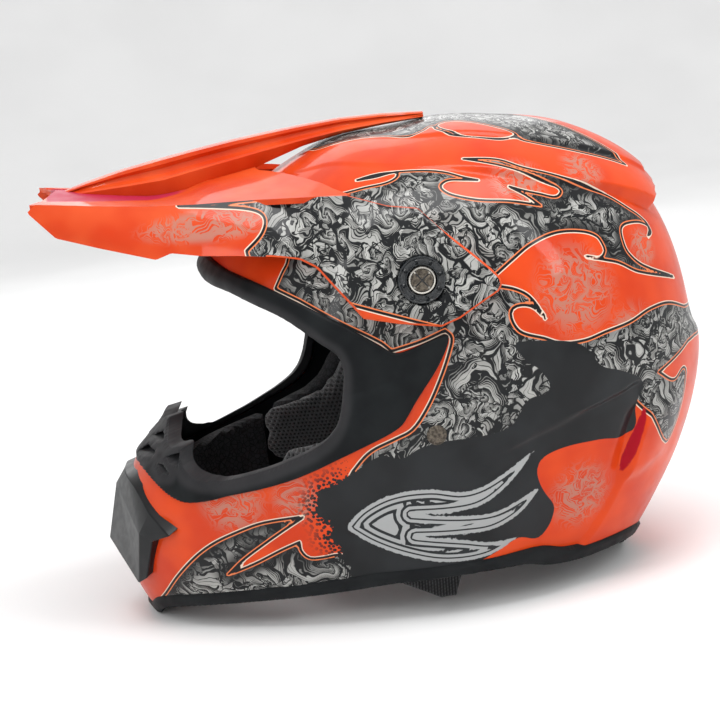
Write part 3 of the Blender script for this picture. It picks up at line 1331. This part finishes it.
def strip(outline, spacing=0.9):
    """A length of webbing hanging inside the shell wall, with soft edges and stitched bars."""
    outline = np.array(outline, float)
    low, high = outline.min(0), outline.max(0)
    grid, cells = flat_grid(low, high, spacing)
    hole = np.hypot(*(grid - RIVET_AT).T) - 3
    places, faces = clipped(grid, cells, np.minimum(inside(outline, grid), hole))
    y, z = places.T
    thin = edge_drop(inside(outline, places), 0.8) * 0.8
    ribs = 0.09 * np.sin(y * 2 * math.pi / 1.6)
    rows = sum(np.exp(-((z - at) / 0.7) ** 2) for at in (108, 92, 44, 12))
    stitched = 0.25 * rows * (np.sin(y * 2.1) > 0)
    half = STRAP_THICK / 2 - thin + ribs - stitched
    middle = strap_x(z)
    return between(middle + half, middle - half, places, faces)


def long_strap():
    back = RIVET_Y + STRAP_WIDTH / 2
    front = RIVET_Y - STRAP_WIDTH / 2
    outline = [(front, RIVET_Z + 9), (back, RIVET_Z + 9), (back, RIVET_Z), (24, 40), (21, 20), (16, 3.2),
               (8, 3.2), (-12, 15), (-13, 30), (front, RIVET_Z)]
    points, faces = strip(outline)
    piece("chin_strap_long_woven", "long_strap", "webbing", WEBBING, points, faces,
          ["chin_strap_long"], sharp=60)


def ring_loop():
    """The short strap's end, folded round the two D-rings' bars and sewn back on itself."""
    wall = 1.4
    in_x = RING_APART / 2 + RING_WIRE + 0.4
    in_z = RING_WIRE + 0.4

    def rounded(half_x, low, high, radius, count=6):
        near, far = LOOP_X + half_x, LOOP_X - half_x
        corners = [(near, high), (far, high), (far, low), (near, low)]
        line = []
        for k, (cx, cz) in enumerate(corners):
            middle_x = cx + math.copysign(radius, LOOP_X - cx)
            middle_z = cz + math.copysign(radius, (low + high) / 2 - cz)
            for t in np.linspace(0, math.pi / 2, count):
                a = k * math.pi / 2 + t
                line.append((middle_x + radius * math.cos(a), middle_z + radius * math.sin(a)))
        return line

    outer = rounded(in_x + wall, LOOP_Z - in_z - wall, LOOP_Z + in_z + 3, 2.6)
    inner = rounded(in_x, LOOP_Z - in_z, LOOP_Z + in_z, 1.6)
    ring = [*outer, *inner]
    count = len(outer)
    front, back = RIVET_Y - STRAP_WIDTH / 2 + 0.2, RIVET_Y + STRAP_WIDTH / 2 - 0.2
    rows = np.linspace(front, back, 40)
    points = np.array([
        (x, y, z + 0.07 * math.sin(y * 2 * math.pi / 1.6)) for y in rows for x, z in ring])
    size = 2 * count
    faces = []
    for i in range(len(rows) - 1):
        a, b = i * size, (i + 1) * size
        for k in range(count):
            m = (k + 1) % count
            faces.append([a + k, a + m, b + m, b + k])
            faces.append([a + count + m, a + count + k, b + count + k, b + count + m])
    for k in range(count):
        m = (k + 1) % count
        end = (len(rows) - 1) * size
        faces.append([m, k, count + k, count + m])
        faces.append([end + k, end + m, end + count + m, end + count + k])
    return points, faces


def short_strap():
    front = RIVET_Y - STRAP_WIDTH / 2
    back = RIVET_Y + STRAP_WIDTH / 2
    outline = [(front, RIVET_Z + 9), (back, RIVET_Z + 9), (back, LOOP_Z + 4.2), (front, LOOP_Z + 4.2)]
    points, faces = joined(strip(outline), ring_loop())
    points, faces = mirrored(points, faces)
    piece("chin_strap_short_woven", "short_strap", "webbing", WEBBING, points, faces,
          ["chin_strap_short"], sharp=60)


def d_ring(name, body, x, node):
    half = STRAP_WIDTH / 2 + RING_WIRE + 1
    low = LOOP_Z - RING_DROP + half
    bottom = 2 * (LOOP_Z - RING_DROP) - low
    corner = [(half, 1.2), (half - 0.4, 0.35), (half - 1.3, 0)]      # along the bar, and below it
    line = [(RIVET_Y - y, LOOP_Z - drop) for y, drop in corner]
    line += [(RIVET_Y + s * half, LOOP_Z) for s in np.linspace(-0.8, 0.8, 9)]
    line += [(RIVET_Y + y, LOOP_Z - drop) for y, drop in corner[::-1]]
    for t in np.linspace(0, 1, 33):
        y = RIVET_Y + half * ((1 - t) ** 2 - t**2)
        z = low * ((1 - t) ** 2 + t**2) + 2 * t * (1 - t) * bottom
        line.append((y, z))
    points, faces = tube([(x, y, z) for y, z in line], RING_WIRE)
    points, faces = mirrored(points, faces)
    piece(name, body, "steel", STEEL, points, faces, [node], sharp=60)


long_strap()
short_strap()
d_ring("d_ring_outer_bent", "outer_ring", LOOP_X + RING_APART / 2, "d_ring_outer")
d_ring("d_ring_inner_bent", "inner_ring", LOOP_X - RING_APART / 2, "d_ring_inner")


# ---- foam ------------------------------------------------------------------------------------

FOAM = [
    (-130, 300), (-130, 198), (-80, 189), (-56, 178), (-34, 163), (-20, 152), (-16, 140), (-16, 121),
    (56, 121), (64, 60), (70, 30), (190, 30), (190, 300),
]
CHEEK_FOAM = [
    (-70, 85), (-46, 92), (-35, 99), (-26, 112), (-20, 118), (53, 118), (58, 60), (58, 50), (-22, 50),
    (-60, 42), (-72, 52),
]
CHIN_FOAM = [
    (-230, 81), (-130, 71), (-112, 76), (-76, 82), (-76, 30), (-126, 24), (-230, 20),
]


def crowned(outline, outer, inner, radius):
    """Outer and inner sizes of a padded layer whose inner edges are rounded off."""
    outline = np.array(outline, float)

    def field(points):
        return inside(outline, along(points, 1, 2))

    def within(base, directions):
        return inner + (outer - inner) * 0.85 * edge_drop(np.clip(field(base), 0, radius), radius) / radius

    return field, (lambda base, directions: np.full(len(base), float(outer))), within


def foam_block(name, outline, outer, inner, node, extra=None, spacing=3.0):
    field, outside, within = crowned(outline, outer, inner, 5)
    chosen = field if extra is None else (lambda points: np.minimum(field(points), extra(points)))
    _, points, faces = plate(chosen, outside, within, spacing)
    piece(name, "shell", "foam", BEADS, points, faces, [node], sharp=45)


def clear_of_screws(points):
    return np.hypot(*(along(points, 1, 2) - SCREW_AT).T) - 9.5


foam_block("crown_foam_beads", FOAM, FOAM_OUT, FOAM_IN, "crown_foam", clear_of_screws)
foam_block("chin_foam_beads", CHIN_FOAM, -12.8, -26, "chin_foam")
for side, sign in (("left", 1), ("right", -1)):
    foam_block(f"cheek_foam_beads_{side}", CHEEK_FOAM, -20.5, -33, f"cheek_foam_{side}",
               lambda points, s=sign: points[:, 0] * s - 20)


# ---- padding ---------------------------------------------------------------------------------

LINER = [
    (-46, 300), (-46, 176), (-30, 163), (-16, 150), (-12, 124), (60, 124), (68, 66), (190, 66), (190, 300),
]
BROW = [(-150, 240), (-150, 188), (-84, 181), (-60, 169.5), (-44, 161), (-44, 240)]
NECK = [(67, 62), (190, 62), (190, 32), (72, 32)]
CHEEK_PAD = [
    (-88, 80), (-62, 86), (-46, 92), (-33, 101), (-24, 116), (-18, 121), (48, 121), (53, 66), (50, 34),
    (-12, 30), (-68, 32), (-88, 48),
]


def vertex_values(made, key):
    """A vector of each vertex as an array of rows."""
    values = np.empty(len(made.data.vertices) * 3)
    made.data.vertices.foreach_get(key, values)
    return values.reshape(-1, 3)


def stuffed(made, voxel, pressure, reach):
    """Swells a closed shape as sewn fabric over soft foam, by cloth simulation."""
    scene = bpy.context.scene
    for other in bpy.context.selected_objects:
        other.select_set(False)
    bpy.context.view_layer.objects.active = made
    made.select_set(True)
    remesh = made.modifiers.new("remesh", "REMESH")
    remesh.mode = "VOXEL"
    remesh.voxel_size = voxel * MM
    bpy.ops.object.modifier_apply(modifier=remesh.name)
    rest = vertex_values(made, "co")
    cloth = made.modifiers.new("cloth", "CLOTH")
    cloth.settings.quality = 4
    cloth.settings.mass = 0.2
    cloth.settings.use_pressure = True
    cloth.settings.uniform_pressure_force = pressure
    cloth.settings.tension_stiffness = 22
    cloth.settings.compression_stiffness = 22
    cloth.settings.bending_stiffness = 0.6
    cloth.settings.effector_weights.gravity = 0
    for number in range(1, 21):
        scene.frame_set(number)
    swollen = made.evaluated_get(bpy.context.evaluated_depsgraph_get())
    shift = vertex_values(swollen, "co") - rest
    length = np.linalg.norm(shift, axis=1)[:, None]
    shift *= np.minimum(1, reach * MM / np.maximum(length, 1e-9))
    made.modifiers.remove(cloth)
    scene.frame_set(1)
    made.data.vertices.foreach_set("co", (rest + shift).ravel())
    made.data.update()
    smooth = made.modifiers.new("smooth", "SUBSURF")
    smooth.levels = smooth.render_levels = 1
    bpy.ops.object.modifier_apply(modifier=smooth.name)


def seams(points, outline, channels):
    """How deep the sewn lines are at each point: one inside the outline and the given channels."""
    side = along(points, 1, 2)
    depth = np.exp(-((inside(outline, side) - 7) / 1.1) ** 2)
    for start, end in channels:
        start, end = np.array(start, float), np.array(end, float)
        way = end - start
        t = np.clip((side - start) @ way / (way @ way), 0, 1)
        away = np.linalg.norm(side - start - t[:, None] * way, axis=1)
        depth = np.maximum(depth, np.exp(-(away / 1.3) ** 2))
    return depth


def pad(name, outline, outer, inner, node, channels=(), sign=0, voxel=4.5):
    """A pad of mesh fabric: built a little slack, swollen, then sewn."""
    field, outside, within = crowned(outline, outer - 0.6, inner + 1.6, 7)
    slack = 1.2

    def chosen(points):
        value = field(points) - slack
        return np.minimum(value, points[:, 0] * sign - 20) if sign else value

    _, points, faces = plate(chosen, outside, within, 3.2)
    made = piece(name, "shell", "mesh_fabric", SPACER_MESH, points, faces, [node])
    stuffed(made, voxel, 3.0, 3.0)
    place = vertex_values(made, "co") / MM
    normal = vertex_values(made, "normal")
    depth = seams(place, np.array(outline, float), channels)
    place = place - normal * (1.3 * depth)[:, None]
    made.data.vertices.foreach_set("co", (place * MM).ravel())
    centre = place - [0, POLE_Y, POLE_Z]
    tilt, angle = polar(centre)
    reach = np.linalg.norm(centre, axis=1) * tilt
    a = np.radians(angle)
    sheet = np.column_stack([reach * np.cos(a), reach * np.sin(a), 0 * reach])
    layer = made.data.attributes.new("sheet", "FLOAT_VECTOR", "POINT")
    layer.data.foreach_set("vector", sheet.astype(np.float32).ravel())
    made.data.shade_smooth()
    made.data.update()
    return made


pad("brow_pad_sewn", BROW, LINER_OUT, LINER_IN - 2, "brow_pad")
pad("crown_liner_sewn", LINER, LINER_OUT, LINER_IN, "crown_liner",
    [((-30, 200), (150, 200)), ((-20, 225), (120, 235)), ((40, 130), (60, 260)), ((80, 70), (120, 240))],
    voxel=5)
pad("neck_roll_sewn", NECK, LINER_OUT, LINER_IN - 4, "neck_roll")
for side, sign in (("left", 1), ("right", -1)):
    pad(f"cheek_pad_sewn_{side}", CHEEK_PAD, -33.8, -50, f"cheek_pad_{side}",
        [((-60, 60), (-20, 112)), ((-44, 34), (20, 110)), ((10, 32), (46, 84))], sign)


# ---- small CAD pieces that keep their shape --------------------------------------------------

def refinish(node, material):
    """Gives a CAD node its procedural material."""
    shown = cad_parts[node]
    shown.data.materials.clear()
    shown.data.materials.append(material)


refinish("chin_vent_mesh", BEADS)
for side in ("left", "right"):
    refinish(f"insert_nut_{side}", STEEL)
    refinish(f"rivet_washer_{side}", STEEL)
    for number in (1, 2, 3):
        refinish(f"cheek_snap_{number}_{side}", BLACK_PLASTIC)


# ---- studio ----------------------------------------------------------------------------------

def softbox(name, place, target, width, height, power):
    data = bpy.data.lights.new(name, "AREA")
    data.shape = "RECTANGLE"
    data.size, data.size_y = width, height
    data.energy = power
    lamp = bpy.data.objects.new(name, data)
    lamp.location = place
    lamp.rotation_euler = (Vector(target) - Vector(place)).to_track_quat("-Z", "Y").to_euler()
    bpy.context.scene.collection.objects.link(lamp)


def studio():
    """A pale floor that curves up into a wall all round, and soft lamps inside it."""
    rings = [(0.01, 0), (0.6, 0), (1.2, 0), (1.8, 0), (2.2, 0.05), (2.55, 0.2), (2.85, 0.45),
             (3.1, 0.8), (3.25, 1.3), (3.3, 2.2)]
    sides = 96
    points = [
        (radius * math.cos(2 * math.pi * k / sides), radius * math.sin(2 * math.pi * k / sides), z)
        for radius, z in rings for k in range(sides)
    ]
    faces = [list(range(sides)), *woven(len(rings), sides, turned=True)]
    data = bpy.data.meshes.new("floor")
    data.from_pydata(points, [], faces)
    data.shade_smooth()
    floor = bpy.data.objects.new("floor", data)
    f = Finish("floor", roughness=0.9, specular_ior_level=0.1)
    grain = f.step(f.noise(f.position(), 0.004, 2), 0.3, 0.7, 0.86, 0.9)
    data.materials.append(f.wear(base_color=f.join(grain, grain, grain)))
    bpy.context.scene.collection.objects.link(floor)
    world = bpy.data.worlds.new("studio")
    world.use_nodes = True
    world.node_tree.nodes["Background"].inputs[0].default_value = (1, 1, 1, 1)
    world.node_tree.nodes["Background"].inputs[1].default_value = 0.84
    bpy.context.scene.world = world
    bpy.context.scene.view_settings.view_transform = "Standard"
    centre = (0, 0, 0.13)
    softbox("top", (0.35, 0.1, 1.5), centre, 1.2, 0.5, 14)
    softbox("front_strip", (1.2, -0.9, 0.8), centre, 0.16, 1.0, 3)
    softbox("rear_strip", (0.9, 0.9, 0.9), centre, 0.14, 0.9, 3)
    softbox("far_fill", (-1.4, 0, 0.9), centre, 1.2, 1.0, 5)


studio()
